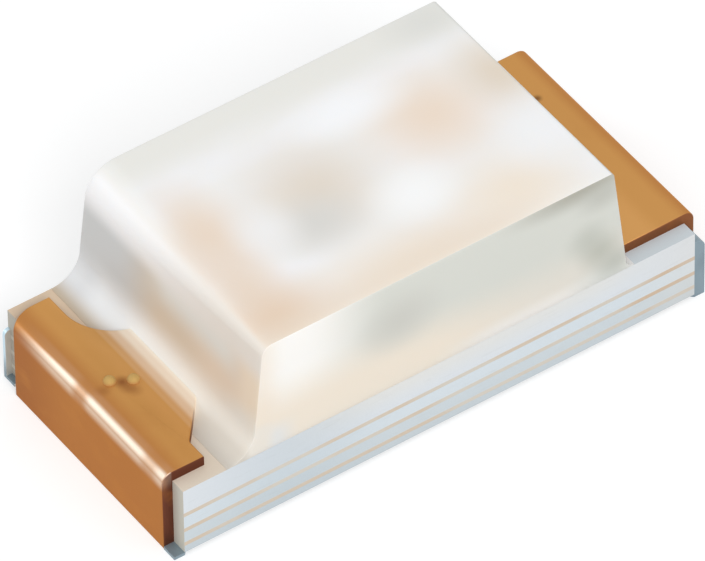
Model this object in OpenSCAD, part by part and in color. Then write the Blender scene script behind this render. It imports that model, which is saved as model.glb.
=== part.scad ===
// Chip light-emitting diode in a two-terminal surface-mount package, standing on its solder pads.
// A laminated board carries two folded copper terminals. The chip sits on the cathode's land
// under a moulded milky lens, and a gold wire joins its top to the anode's finger.
// X runs along the board, with the cathode end at -X. Y runs across it and Z points up.
// The origin is the middle of the underside, and every length is in millimetres.

/* [Board] */
// Length of the board between its end faces
board_l = 3.2; // [2.8:0.05:4.0]
// Width of the board between its sawn long sides
board_w = 1.6; // [1.52:0.02:2.4]
// Thickness of the top ply
ply_1_t = 0.16; // [0.1:0.002:0.24]
// Thickness of the second ply
ply_2_t = 0.082; // [0.06:0.002:0.16]
// Thickness of the third ply
ply_3_t = 0.074; // [0.06:0.002:0.16]
// Thickness of the bottom ply
ply_4_t = 0.046; // [0.03:0.002:0.12]
// Thickness of each resin bond line between two plies
bond_t = 0.026; // [0.01:0.002:0.04]

/* [Terminals] */
// Thickness of the copper foil
foil_t = 0.064; // [0.04:0.002:0.09]
// Bare strip of board beside the foil, along a long side
foil_inset = 0.096; // [0.06:0.002:0.16]
// The same strip at the anode's +Y side, where the foil runs out nearly to the board's edge
anode_far_inset = 0.008; // [0.004:0.002:0.16]
// Rounding of the cathode's outer corner at +Y, which makes the leg that much narrower
leg_corner_r = 0.05; // [0.01:0.002:0.08]
// Length of the cathode's full-width band on top of the board
cathode_band_l = 0.196; // [0.12:0.002:0.24]
// Length of the anode's full-width band on top of the board
anode_band_l = 0.45; // [0.4:0.005:0.5]
// Distance of the cathode's neck's +Y edge from the middle line
neck_far_y = 0.26; // [0.18:0.01:0.28]
// Radius of the hollow flare between the band and that edge
neck_flare_r = 0.3; // [0.1:0.01:0.3]
// Distance of the neck's -Y edge from the middle line
neck_near_y = 0.28; // [0.18:0.01:0.28]
// Distance from the middle line to where the straight sweep of that edge leaves the band
sweep_y = 0.572; // [0.4:0.002:0.62]
// Length along the board of that sweep
sweep_l = 0.25; // [0.15:0.01:0.4]
// Radius of the small hollow corner between the band and the sweep
sweep_r = 0.03; // [0.01:0.002:0.05]
// Width of the anode's finger under the lens
finger_w = 0.36; // [0.24:0.02:0.5]
// Radius of the flare between the anode's band and its finger
finger_flare_r = 0.12; // [0.04:0.01:0.2]
// Copper shown all round the chip on its land
land_margin = 0.14; // [0.05:0.01:0.18]
// Bare board between the chip's land and the anode's finger
land_gap = 0.22; // [0.12:0.01:0.3]

/* [Polarity dots] */
// Radius of each raised dot on the cathode's band
dot_r = 0.036; // [0.02:0.002:0.04]
// Height of each raised dot
dot_h = 0.03; // [0.012:0.002:0.03]
// Distance from the board's end to the point midway between the dots
dots_from_end = 0.158; // [0.12:0.002:0.18]
// Distance of that point from the middle of the board's width, towards -Y
dots_off_middle = 0.014; // [0:0.002:0.06]
// Spacing of the two dots along the board
dots_pitch_x = 0.108; // [0.088:0.002:0.12]
// Spacing of the two dots across the board
dots_pitch_y = 0.06; // [0:0.002:0.12]

/* [Solder pads] */
// Length of each tinned pad under the board
pad_l = 0.62; // [0.5:0.02:0.9]
// Thickness of each tinned pad
pad_t = 0.02; // [0.018:0.002:0.06]
// Drop from the board's top to the top of the anode's tinned end ear
ear_drop = 0.06; // [0.01:0.002:0.1]
// Radius of the outer top corner of an ear
ear_r = 0.058; // [0.02:0.002:0.06]
// Width of the cathode's slim ear
slim_ear_w = 0.022; // [0.016:0.002:0.05]
// Thickness of the slim ear
slim_ear_t = 0.036; // [0.02:0.002:0.05]
// Height of the slim ear's top above the floor
slim_ear_z = 0.34; // [0.2:0.01:0.38]
// Thickness of the solder mask between the two pads
mask_t = 0.014; // [0.008:0.001:0.014]
// Thickness of the printed polarity arrow on the mask
arrow_t = 0.003; // [0.002:0.001:0.004]
// Length of the polarity arrow
arrow_l = 0.6; // [0.3:0.02:0.8]
// Width of the polarity arrow at its base
arrow_w = 0.6; // [0.3:0.02:0.9]

/* [Lens] */
// Height of the lens above the board
lens_h = 0.72; // [0.6:0.02:1.0]
// Length of board at each end, from its end face to where the lens's end wall would meet it
lens_setback = 0.43; // [0.38:0.01:0.46]
// Draw-in of each end wall from the board up to the top
lens_end_in = 0.08; // [0:0.005:0.2]
// Draw-in of each long side from the board up to the top
lens_side_in = 0.01; // [0:0.002:0.06]
// Radius of the cathode end's top edge at the -Y side
edge_near_r = 0.07; // [0.04:0.01:0.16]
// Radius of the cathode end's top edge at the +Y side
edge_far_r = 0.19; // [0.08:0.01:0.24]
// Radius of the anode end's top edge
edge_anode_r = 0.028; // [0.008:0.002:0.06]
// Radius of the hollow foot at the cathode end
foot_cathode_r = 0.18; // [0.12:0.01:0.25]
// Radius of the hollow foot at the anode end
foot_anode_r = 0.05; // [0.03:0.01:0.12]
// Thickness of the moulded film at the edge of each foot
foot_film_t = 0.008; // [0.004:0.001:0.016]

/* [Chip] */
// Side of the square chip
chip_w = 0.3; // [0.24:0.01:0.38]
// Height of the chip's base
chip_h = 0.12; // [0.08:0.01:0.18]
// Distance of the chip's middle from the board's middle, towards the cathode
chip_off = 0.04; // [0:0.01:0.1]
// Thickness of the silver paste under the chip
paste_t = 0.012; // [0.006:0.001:0.02]
// Width of the paste that is squeezed out all round the chip
paste_rim = 0.018; // [0.008:0.001:0.03]
// Thickness of the light-giving layer
layer_t = 0.014; // [0.008:0.001:0.03]
// Ledge left round the light-giving layer
layer_inset = 0.016; // [0.008:0.001:0.03]
// Radius of the chip's top contact
contact_r = 0.055; // [0.05:0.001:0.08]
// Thickness of the chip's top contact
contact_t = 0.008; // [0.004:0.001:0.014]

/* [Bond wire] */
// Diameter of the gold wire
wire_d = 0.03; // [0.02:0.001:0.04]
// Diameter of the ball on the chip's contact
ball_d = 0.09; // [0.07:0.005:0.1]
// Height of the flattened ball
ball_h = 0.03; // [0.02:0.001:0.04]
// Rise that pulls the wire's loop up above the ball
loop_rise = 0.22; // [0.12:0.01:0.3]
// Distance from the finger's inner end to the stitch
stitch_in = 0.12; // [0.08:0.01:0.18]
// Diameter of the flattened stitch
stitch_d = 0.07; // [0.05:0.005:0.09]
// Thickness of the flattened stitch
stitch_t = 0.012; // [0.008:0.001:0.016]

/* [Hidden] */

// Colours as the photograph shows them, and plain ones for what it hides
ply_colour = [0.84, 0.88, 0.90];
bond_colour = [0.80, 0.71, 0.62];
copper_colour = [0.77, 0.56, 0.31];
dot_colour = [0.82, 0.67, 0.38];
tin_colour = [0.54, 0.61, 0.65];
mask_colour = [0.80, 0.84, 0.80];
arrow_colour = [0.20, 0.45, 0.32];
paste_colour = [0.70, 0.70, 0.72];
chip_colour = [0.35, 0.38, 0.42];
layer_colour = [0.78, 0.80, 0.62];
gold_colour = [0.90, 0.74, 0.36];
lens_colour = [0.94, 0.93, 0.91];

// Segments in each rounded stretch of an outline
arc_steps = 10;
// Cross sections along the lens, from the -Y side to the +Y side
lens_sections = 7;
// Cross sections along the wire, and the sides of each
wire_sections = 22;
wire_sides = 8;
// Smoothness of what is round
$fn = 32;

// Where each layer lies, from the underside up
ply_t = [ply_1_t, ply_2_t, ply_3_t, ply_4_t];
ply_4_z = pad_t;
ply_3_z = ply_4_z + ply_4_t + bond_t;
ply_2_z = ply_3_z + ply_3_t + bond_t;
ply_1_z = ply_2_z + ply_2_t + bond_t;
ply_z = [ply_1_z, ply_2_z, ply_3_z, ply_4_z];
board_z = ply_1_z + ply_1_t;
foil_z = board_z + foil_t;
lens_z = board_z + lens_h;

// Where the ends, the long sides and the foil's edges lie
end_x = board_l / 2;
side_y = board_w / 2;
foil_y = side_y - foil_inset;
anode_far_y = side_y - anode_far_inset;

// Where the chip stands on its land, and where the wire comes down
chip_x = -chip_off;
paste_w = chip_w + 2 * paste_rim;
layer_w = chip_w - 2 * layer_inset;
paste_z = foil_z + paste_t;
chip_z = paste_z + chip_h;
layer_z = chip_z + layer_t;
contact_z = layer_z + contact_t;
ball_z = contact_z + ball_h;
land_w = chip_w + 2 * land_margin;
land_end_x = chip_x + land_w / 2;
finger_end_x = land_end_x + land_gap;
stitch_x = finger_end_x + stitch_in;

// Where the lens's end walls would meet the board and its flat top, and how far they lean.
// The rounded edges that close them each turn through a right angle less that lean.
lens_foot_x = end_x - lens_setback;
lens_top_x = lens_foot_x - lens_end_in;
wall_turn = 90 - atan(lens_end_in / lens_h);

// Points along an arc about a centre, both ends included
function arc(centre, r, from, to, steps = arc_steps) =
    [for (i = [0:steps]) let (a = from + (to - from) * i / steps) centre + r * [cos(a), sin(a)]];

// The same outline with its points in the other order
function reversed(points) = [for (i = [len(points) - 1:-1:0]) points[i]];

// An outline mirrored across its first axis or its second
function mirrored_x(points) = [for (p = points) [-p[0], p[1]]];
function mirrored_y(points) = [for (p = points) [p[0], -p[1]]];

// Faces of a skin over rings of equal count, the first and the last ring closed by a cap
function skin_faces(rings, count) = concat(
    [[for (i = [count - 1:-1:0]) i]],
    [[for (i = [0:count - 1]) (rings - 1) * count + i]],
    [for (k = [0:rings - 2]) for (i = [0:count - 1]) [k * count + i, k * count + (i + 1) % count,
        (k + 1) * count + (i + 1) % count]],
    [for (k = [0:rings - 2]) for (i = [0:count - 1]) [k * count + i,
        (k + 1) * count + (i + 1) % count, (k + 1) * count + i]]);

// A flat layer of the board's plan, between two heights
module board_layer(z, t) {
    translate([-end_x, -side_y, z]) cube([board_l, board_w, t]);
}

// One ply of glass cloth in resin, counted from the top
module board_ply(number) {
    color(ply_colour) board_layer(ply_z[number - 1], ply_t[number - 1]);
}

// The thin line of bare resin under a ply, counted from the top
module bond_line(number) {
    color(bond_colour) board_layer(ply_z[number - 1] - bond_t, bond_t);
}

// One side of a foil's plan on top of the board, from the board's end face inwards.
// Its outer corner may be rounded. The band's inner edge turns through a hollow flare into the neck.
function flared_side(edge_y, corner_r, band_l, neck_y, flare, land_y, land_from, land_to) =
    let (r = min(flare, edge_y - neck_y, land_from - land_y + neck_y - band_l), band_x = band_l - end_x)
    concat(corner_r > 0 ? arc([corner_r - end_x, edge_y - corner_r], corner_r, 180, 90)
            : [[-end_x, edge_y]],
        [[band_x, edge_y]], arc([band_x + r, neck_y + r], r, 180, 270),
        land_side(neck_y, land_y, land_from, land_to));

// The same with a small hollow corner and a straight sweep from the band to the neck
function swept_side(edge_y, band_l, neck_y, land_y, land_from, land_to) =
    let (from_y = min(sweep_y, edge_y - 2 * sweep_r), angle = atan((from_y - neck_y) / sweep_l),
        band_x = band_l - end_x)
    concat([[-end_x, edge_y], [band_x, edge_y]],
        arc([band_x + sweep_r, from_y + sweep_r * tan(45 - angle / 2)], sweep_r, 180, 270 - angle),
        [[band_x + sweep_l, neck_y]], land_side(neck_y, land_y, land_from, land_to));

// The neck's end, a short widening and the side of the land
function land_side(neck_y, land_y, land_from, land_to) = concat(
    land_y > neck_y ? [[land_from - end_x - land_y + neck_y, neck_y], [land_from - end_x, land_y]] : [],
    [[land_to - end_x, land_y]]);

// Foil folded over the board's end: a flat plan on top, a round bend and a leg down to the floor.
// The far side's points are given as they lie, and the near side's as if they lay at +Y.
module folded_foil(far, near, leg_y) {
    translate([0, 0, board_z]) linear_extrude(foil_t) polygon(concat(far, reversed(mirrored_y(near))));
    translate([0, leg_y, 0]) rotate([90, 0, 0]) linear_extrude(leg_y + foil_y)
        polygon(concat([[-end_x, 0], [-end_x, foil_z]], arc([-end_x, board_z], foil_t, 90, 180),
            [[-end_x - foil_t, 0]]));
}

module cathode_foil() {
    land_from = land_end_x - land_w + end_x;
    land_to = land_end_x + end_x;
    folded_foil(flared_side(foil_y, leg_corner_r, cathode_band_l, neck_far_y, neck_flare_r, land_w / 2,
            land_from, land_to),
        swept_side(foil_y, cathode_band_l, neck_near_y, land_w / 2, land_from, land_to),
        foil_y - leg_corner_r);
}

module anode_foil() {
    land_to = end_x - finger_end_x;
    mirror([1, 0, 0]) folded_foil(flared_side(anode_far_y, 0, anode_band_l, finger_w / 2, finger_flare_r,
            finger_w / 2, land_to - stitch_in, land_to),
        flared_side(foil_y, 0, anode_band_l, finger_w / 2, finger_flare_r, finger_w / 2,
            land_to - stitch_in, land_to),
        anode_far_y);
}

module cathode_terminal() {
    color(copper_colour) cathode_foil();
}

module anode_terminal() {
    color(copper_colour) anode_foil();
}

// Two low domes that stand on the cathode's copper
module polarity_dots() {
    dome_r = (dot_r * dot_r + dot_h * dot_h) / (2 * dot_h);
    color(dot_colour) for (side = [-1, 1])
        translate([dots_from_end - end_x + side * dots_pitch_x / 2,
            -dots_off_middle - side * dots_pitch_y / 2, foil_z])
            rotate_extrude() polygon(concat([[0, 0]],
                arc([0, dot_h - dome_r], dome_r, acos(dot_r / dome_r) * (dome_r > dot_h ? 1 : -1), 90)));
}

// Half of a pad's outline: a foot of thickness t in the corner notch beside the leg, if it has one,
// and the pad itself, which lies back from the board's long side
function plated_side(t) = concat(
    t > 0 ? [[-end_x, foil_y], [-end_x - t, foil_y], [-end_x - t, side_y]] : [],
    [[-end_x, side_y], [foil_inset - end_x, foil_y], [pad_l - end_x, foil_y]]);

// Tinned plating round one end: a pad with feet, given by their thickness at -Y and at +Y, and
// upright ears, each as its side, width, thickness and top
module end_plating(feet, ears) {
    linear_extrude(pad_t)
        polygon(concat(plated_side(feet[1]), reversed(mirrored_y(plated_side(feet[0])))));
    for (ear = ears) end_ear(ear[0], ear[1], ear[2], ear[3], min(ear_r, 0.9 * ear[2]));
}

// One ear, which stands on a foot against the board's end face, with its outer top corner rounded
module end_ear(side, w, t, top_z, corner_r) {
    translate([0, side > 0 ? side_y : w - side_y, 0]) rotate([90, 0, 0]) linear_extrude(w)
        polygon(concat([[-end_x, 0], [-end_x, top_z]],
            arc([-end_x - t + corner_r, top_z - corner_r], corner_r, 90, 180), [[-end_x - t, 0]]));
}

module cathode_solder_pad() {
    color(tin_colour) end_plating([foil_t, slim_ear_t], [[1, slim_ear_w, slim_ear_t, slim_ear_z]]);
}

module anode_solder_pad() {
    color(tin_colour) mirror([1, 0, 0])
        end_plating([foil_t, 0], [[-1, foil_inset, foil_t, board_z - ear_drop]]);
}

module solder_mask() {
    color(mask_colour) translate([pad_l - end_x, -foil_y, pad_t - mask_t])
        cube([board_l - 2 * pad_l, 2 * foil_y, mask_t]);
}

// Printed arrow on the mask, which points to the cathode
module polarity_arrow() {
    color(arrow_colour) translate([0, 0, pad_t - mask_t - arrow_t]) linear_extrude(arrow_t)
        polygon([[-arrow_l / 2, 0], [arrow_l / 2, -arrow_w / 2], [arrow_l / 2, arrow_w / 2]]);
}

// A square block that stands centred on the chip's place
module chip_block(w, z, h) {
    translate([chip_x - w / 2, -w / 2, z]) cube([w, w, h]);
}

module chip_paste() {
    color(paste_colour) chip_block(paste_w, foil_z, paste_t);
}

module chip_base() {
    color(chip_colour) chip_block(chip_w, paste_z, chip_h);
}

module chip_light_layer() {
    color(layer_colour) chip_block(layer_w, chip_z, layer_t);
}

module chip_contact() {
    color(gold_colour) translate([chip_x, 0, layer_z]) cylinder(r = contact_r, h = contact_t);
}

// The loop of the wire, as the four control points of a cubic curve in the XZ plane
loop = [[chip_x, ball_z - wire_d / 4], [chip_x, ball_z + loop_rise],
    [stitch_x - land_gap, foil_z + loop_rise], [stitch_x, foil_z + wire_d / 2]];

function loop_point(t) = pow(1 - t, 3) * loop[0] + 3 * t * pow(1 - t, 2) * loop[1]
    + 3 * t * t * (1 - t) * loop[2] + pow(t, 3) * loop[3];

function loop_heading(t) = let (d = pow(1 - t, 2) * (loop[1] - loop[0])
    + 2 * t * (1 - t) * (loop[2] - loop[1]) + t * t * (loop[3] - loop[2])) d / norm(d);

// One ring of the wire, square to the loop
function wire_ring(t) = let (c = loop_point(t), d = loop_heading(t))
    [for (i = [0:wire_sides - 1]) let (a = 360 * i / wire_sides, out = wire_d / 2 * cos(a))
        [c[0] - out * d[1], wire_d / 2 * sin(a), c[1] + out * d[0]]];

// Gold wire: a flattened ball on the chip, a loop, and a flattened stitch on the anode's finger
module wire_shape() {
    bulge = ball_h / 2;
    translate([chip_x, 0, contact_z]) rotate_extrude()
        polygon(concat([[0, 0]], arc([ball_d / 2 - bulge, bulge], bulge, -90, 90), [[0, ball_h]]));
    polyhedron([for (k = [0:wire_sections]) each wire_ring(k / wire_sections)],
        skin_faces(wire_sections + 1, wire_sides));
    translate([stitch_x, 0, foil_z]) cylinder(d = stitch_d, h = stitch_t);
}

module bond_wire() {
    color(gold_colour) wire_shape();
}

// Half of the lens's section at one end, from the edge of its foot up to its flat top.
// The foot is a hollow arc from a thin film on the board to the leaning wall, and the top edge is
// a round arc from that wall to the flat top. The wall is straight between the two.
function lens_end(foot_r, edge_r) =
    let (tangent = tan(wall_turn / 2))
    concat([[-lens_foot_x - foot_r * tangent, board_z]],
        arc([-lens_foot_x - foot_r * tangent, board_z + foot_film_t + foot_r], foot_r, -90,
            wall_turn - 90),
        arc([-lens_top_x + edge_r * tangent, lens_z - edge_r], edge_r, 90 + wall_turn, 90));

// The whole section, with the edge at the cathode end as round as its place across the lens asks
function lens_section(across) = concat(
    reversed(lens_end(foot_cathode_r, edge_near_r + (edge_far_r - edge_near_r) * across)),
    mirrored_x(lens_end(foot_anode_r, edge_anode_r)));

// Draw-in of a long side at a height above the board
function side_in(z) = lens_side_in * (z - board_z) / lens_h;

// A section stood up at its place between the two long sides
function lens_ring(across) = [for (p = lens_section(across))
    [p[0], (2 * across - 1) * (side_y - side_in(p[1])), p[1]]];

// The lens's outer form: sections carried across the board, each with its own rounding
module lens_form() {
    polyhedron([for (k = [0:lens_sections - 1]) each lens_ring(k / (lens_sections - 1))],
        skin_faces(lens_sections, len(lens_section(0))));
}

// The lens is moulded round the foil, the chip and the wire, so it bears on all of them
module lens() {
    color(lens_colour) difference() {
        lens_form();
        cathode_foil();
        anode_foil();
        chip_block(paste_w, foil_z, paste_t);
        chip_block(chip_w, paste_z, chip_h);
        chip_block(layer_w, chip_z, layer_t);
        translate([chip_x, 0, layer_z]) cylinder(r = contact_r, h = contact_t);
        wire_shape();
    }
}

board_ply(1);  // board_ply_1
bond_line(1);  // bond_line_1
board_ply(2);  // board_ply_2
bond_line(2);  // bond_line_2
board_ply(3);  // board_ply_3
bond_line(3);  // bond_line_3
board_ply(4);  // board_ply_4
cathode_terminal();
anode_terminal();
polarity_dots();
cathode_solder_pad();
anode_solder_pad();
solder_mask();
polarity_arrow();
chip_paste();
chip_base();
chip_light_layer();
chip_contact();
bond_wire();
lens();
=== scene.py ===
"""Looks of a chip LED in a two-terminal surface-mount package.

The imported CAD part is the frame, and its lengths, in metres, set every size here. The lens, the two
copper terminals and the two polarity dots are shown by smooth surfaces of the same form, and the other
nodes keep their CAD meshes and get materials.
"""

from __future__ import annotations

import logging
import math
from collections.abc import Sequence
from dataclasses import dataclass
from enum import Enum

import bmesh
import bpy
import numpy as np
from mathutils import Matrix, Vector


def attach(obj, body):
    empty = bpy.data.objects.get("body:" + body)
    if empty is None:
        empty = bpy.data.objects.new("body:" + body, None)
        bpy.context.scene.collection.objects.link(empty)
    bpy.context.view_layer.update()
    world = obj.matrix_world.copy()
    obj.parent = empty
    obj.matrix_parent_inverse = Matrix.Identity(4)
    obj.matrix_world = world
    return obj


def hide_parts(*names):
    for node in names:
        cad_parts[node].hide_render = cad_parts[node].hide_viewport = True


LOG = logging.getLogger("chip_led")
MM = 0.001
# Three lengths, shares or other numbers that belong together
Triple = tuple[float, float, float]
Colour = Triple


def from_screen(red: float, green: float, blue: float) -> Colour:
    """A colour's linear values.

    Args:
        red: Red as a screen shows it, 0 to 255.
        green: Green in the same way.
        blue: Blue in the same way.

    Returns:
        The three linear values, 0 to 1.
    """
    shares = np.array([red, green, blue]) / 255
    low, high = shares / 12.92, ((shares + 0.055) / 1.055) ** 2.4
    return tuple(float(c) for c in np.where(shares <= 0.04045, low, high))


class Facing(Enum):
    """The way that a face looks, as an axis and a sign."""

    UP = (2, 1)
    DOWN = (2, -1)
    NEAR = (1, -1)
    FAR = (1, 1)
    CATHODE = (0, -1)
    ANODE = (0, 1)


class Tree:
    """Short calls that build one material's nodes. Its lengths are in millimetres."""

    def __init__(self, name: str) -> None:
        """Starts a material with one glossy shader.

        Args:
            name: The material's name.
        """
        self.material = bpy.data.materials.new(name)
        self.material.use_nodes = True
        self.nodes = self.material.node_tree.nodes
        self.links = self.material.node_tree.links
        self.shader = self.nodes["Principled BSDF"]
        self._place: bpy.types.NodeSocket | None = None
        self._axes: list[bpy.types.NodeSocket] = []
        self._normal: list[bpy.types.NodeSocket] = []

    def node(self, kind: str, inputs: dict | None = None, **settings) -> bpy.types.Node:
        """Adds a node.

        Args:
            kind: The node's type, without the leading ShaderNode.
            inputs: Values or sockets by input name or number.
            **settings: The node's own settings.

        Returns:
            The node.
        """
        made = self.nodes.new("ShaderNode" + kind)
        for key, value in settings.items():
            setattr(made, key, value)
        for key, value in (inputs or {}).items():
            self.put(made.inputs[key], value)
        return made

    def put(self, target: bpy.types.NodeSocket, value) -> None:
        """Links a socket to a target, or sets a plain value on it."""
        if isinstance(value, bpy.types.NodeSocket):
            self.links.new(value, target)
        elif isinstance(value, tuple) and len(value) == 3 and target.type == "RGBA":
            target.default_value = (*value, 1.0)
        else:
            target.default_value = value

    def place(self) -> bpy.types.NodeSocket:
        """The point of the object, in millimetres."""
        if self._place is None:
            source = self.node("TexCoord").outputs["Object"]
            self._place = self.node("VectorMath", {0: source, "Scale": 1 / MM}, operation="SCALE").outputs[0]
        return self._place

    def axis(self, number: int) -> bpy.types.NodeSocket:
        """One coordinate of the point, in millimetres."""
        if not self._axes:
            self._axes = list(self.node("SeparateXYZ", {0: self.place()}).outputs)
        return self._axes[number]

    def facing(self, way: Facing) -> bpy.types.NodeSocket:
        """How far the surface faces a way, from 0 to 1."""
        if not self._normal:
            source = self.node("TexCoord").outputs["Normal"]
            self._normal = list(self.node("SeparateXYZ", {0: source}).outputs)
        number, sign = way.value
        return self.sum("MULTIPLY", self._normal[number], float(sign), clamp=True)

    def sum(self, operation: str, first, second=0.0, clamp: bool = False) -> bpy.types.NodeSocket:
        """The outcome of a sum on one or two values."""
        return self.node("Math", {0: first, 1: second}, operation=operation, use_clamp=clamp).outputs[0]

    def times(self, first, *others) -> bpy.types.NodeSocket:
        """The product of two values or more."""
        for other in others:
            first = self.sum("MULTIPLY", first, other)
        return first

    def rise(self, value, start: float, end: float, top: float = 1.0) -> bpy.types.NodeSocket:
        """A smooth rise.

        Args:
            value: What the rise goes by.
            start: Where the rise is 0. It may lie above the end.
            end: Where it reaches its top.
            top: The height of the top.

        Returns:
            The rise's height.
        """
        inputs = {"Value": value, "From Min": min(start, end), "From Max": max(start, end)}
        inputs |= {"To Min": 0.0 if start < end else top, "To Max": top if start < end else 0.0}
        return self.node("MapRange", inputs, interpolation_type="SMOOTHSTEP").outputs["Result"]

    def noise(self, scale: float, stretch: Triple = (1.0, 1.0, 1.0),
              detail: float = 3.0) -> bpy.types.NodeSocket:
        """Soft noise about 0.5.

        Args:
            scale: Waves in a millimetre.
            stretch: Times that count along each axis.
            detail: Finer layers of the noise.

        Returns:
            The noise.
        """
        stretched = self.node("VectorMath", {0: self.place(), 1: stretch}, operation="MULTIPLY").outputs[0]
        return self.node("TexNoise", {"Vector": stretched, "Scale": scale, "Detail": detail}).outputs[0]

    def spot(self, centre: Triple, reach: Triple, top: float = 1.0) -> bpy.types.NodeSocket:
        """A soft spot.

        Args:
            centre: Its middle, in millimetres.
            reach: How far it reaches along each axis.
            top: Its value at the middle.

        Returns:
            The top's value at the middle, and 0 from the reach outwards.
        """
        off = self.node("VectorMath", {0: self.place(), 1: centre}, operation="SUBTRACT").outputs[0]
        near = self.node("VectorMath", {0: off, 1: reach}, operation="DIVIDE").outputs[0]
        length = self.node("VectorMath", {0: near}, operation="LENGTH").outputs["Value"]
        return self.rise(length, 1.0, 0.0, top)

    def mix(self, first, second, share) -> bpy.types.NodeSocket:
        """A colour between two others, by the share of the second."""
        made = self.node("Mix", data_type="RGBA")
        for number, value in ((0, share), (6, first), (7, second)):
            self.put(made.inputs[number], value)
        return made.outputs[2]

    def bump(self, height: bpy.types.NodeSocket, depth: float, strength: float) -> None:
        """Gives the surface small relief.

        Args:
            height: Its height, from 0 to 1.
            depth: What a height of 1 stands for, in millimetres.
            strength: How strongly it shows, from 0 to 1.
        """
        made = self.node("Bump", {"Height": height, "Distance": depth * MM, "Strength": strength})
        self.put(self.shader.inputs["Normal"], made.outputs[0])

    def finish(self, colour, **values: float | tuple[float, ...]) -> bpy.types.Material:
        """Sets the shader's colour and its plain values.

        Args:
            colour: The base colour.
            **values: Values by input name, with underscores for spaces.

        Returns:
            The material.
        """
        self.put(self.shader.inputs["Base Color"], colour)
        for key, value in values.items():
            self.put(self.shader.inputs[key.replace("_", " ")], value)
        return self.material


@dataclass(frozen=True)
class LightPatch:
    """A soft patch of painted light on the milky resin: warm and white ones stand for reflections, grey ones
    for shade.

    Attributes:
        centre: Its middle, in millimetres.
        reach: How far it reaches along each axis.
        colour: Its colour.
        strength: Its share at the middle.
    """

    centre: Triple
    reach: Triple
    colour: Colour
    strength: float


@dataclass(frozen=True)
class PlyFinish:
    """Glass cloth in pale resin.

    Attributes:
        name: The material's name.
        side: Colour of the sawn long sides.
        haze: Whether the lens's milky resin thins out over its sides.
        side_anode: Colour that the sides take on a little towards the anode's end.
        side_hazed: Colour of the haze.
        side_shade: Colour of a soft painted shade on the -Y side, near the cathode's end.
        end: Colour of the end faces.
        end_far: The same towards +Y.
        notch: The same inside the notch at +Y.
        top_near: Colour on top at the cathode's end, on the -Y side.
        top_far: The same on the +Y side.
        top_anode: Colour on top at the anode's end.
        thread: Colour of the threads' streaks.
    """

    name: str
    side: Colour
    haze: bool = False
    side_anode: Colour = from_screen(226, 221, 212)
    side_hazed: Colour = from_screen(230, 229, 224)
    side_shade: Colour = from_screen(188, 200, 207)
    end: Colour = from_screen(214, 211, 198)
    end_far: Colour = from_screen(192, 187, 174)
    notch: Colour = from_screen(212, 206, 194)
    top_near: Colour = from_screen(219, 206, 189)
    top_far: Colour = from_screen(213, 190, 164)
    top_anode: Colour = from_screen(204, 213, 218)
    thread: Colour = from_screen(176, 178, 174)

    def side_colour(self, tree: Tree) -> bpy.types.NodeSocket:
        """The long sides' colour, with the haze that thins out downwards and towards both ends."""
        along, height = tree.axis(0), tree.axis(2)
        side = tree.mix(self.side, self.side_anode, tree.rise(along, 1.1, 1.7, 0.35))
        if self.haze:
            reach = tree.times(tree.rise(along, 1.5, 0.9), tree.rise(along, -1.1, -0.4))
            side = tree.mix(side, self.side_hazed, tree.times(tree.rise(height, 0.30, 0.46, 0.8), reach))
        # Painted soft shade on the -Y side near the cathode's end.
        return tree.mix(side, self.side_shade, tree.spot((-0.95, -0.8, 0.25), (0.75, 0.5, 2.0), 0.4))

    def end_colour(self, tree: Tree) -> bpy.types.NodeSocket:
        """The end faces' colour, darker towards +Y except inside the notch there."""
        far = tree.rise(tree.axis(1), 0.2, 0.6)
        end = tree.mix(self.end, self.end_far, far)
        return tree.mix(end, self.notch, tree.times(far, tree.rise(tree.axis(0), -1.595, -1.575)))

    def top_colour(self, tree: Tree) -> bpy.types.NodeSocket:
        """The top's colour, warm at the cathode's end and cool at the anode's."""
        top = tree.mix(self.top_near, self.top_far, tree.rise(tree.axis(1), -0.3, 0.4))
        return tree.mix(top, self.top_anode, tree.rise(tree.axis(0), -1.2, 0.9))

    def build(self) -> bpy.types.Material:
        """The material, with faint streaks along the cloth's threads."""
        tree = Tree(self.name)
        ends, tops = (tree.rise(tree.facing(way), 0.5, 0.9) for way in (Facing.CATHODE, Facing.UP))
        colour = tree.mix(self.side_colour(tree), self.end_colour(tree), ends)
        colour = tree.mix(colour, self.top_colour(tree), tops)
        threads = tree.noise(5.0, (1.0, 4.0, 9.0))
        colour = tree.mix(colour, self.thread, tree.rise(threads, 0.55, 0.85, 0.18))
        tree.bump(tree.noise(40.0), 0.002, 0.25)
        return tree.finish(colour, Roughness=0.55, Specular_IOR_Level=0.3)


@dataclass(frozen=True)
class BondFinish:
    """Tan resin of the thin lines between the plies.

    Attributes:
        name: The material's name.
        near: Colour on the long sides at the cathode's end.
        far: The same at the anode's end.
        pale: Colour where a line is paler.
        end: Colour of the end faces.
    """

    name: str = "bond_resin"
    near: Colour = from_screen(213, 195, 174)
    far: Colour = from_screen(209, 184, 158)
    pale: Colour = from_screen(216, 215, 208)
    end: Colour = from_screen(214, 211, 198)

    def build(self) -> bpy.types.Material:
        """The material, more orange towards the anode's end and paler here and there."""
        tree = Tree(self.name)
        colour = tree.mix(self.near, self.far, tree.rise(tree.axis(0), 0.2, 1.6))
        colour = tree.mix(colour, self.pale, tree.rise(tree.noise(1.6, (1.0, 1.0, 3.0)), 0.38, 0.62, 0.6))
        colour = tree.mix(colour, self.end, tree.rise(tree.facing(Facing.CATHODE), 0.5, 0.9))
        return tree.finish(colour, Roughness=0.5, Specular_IOR_Level=0.3)


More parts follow.
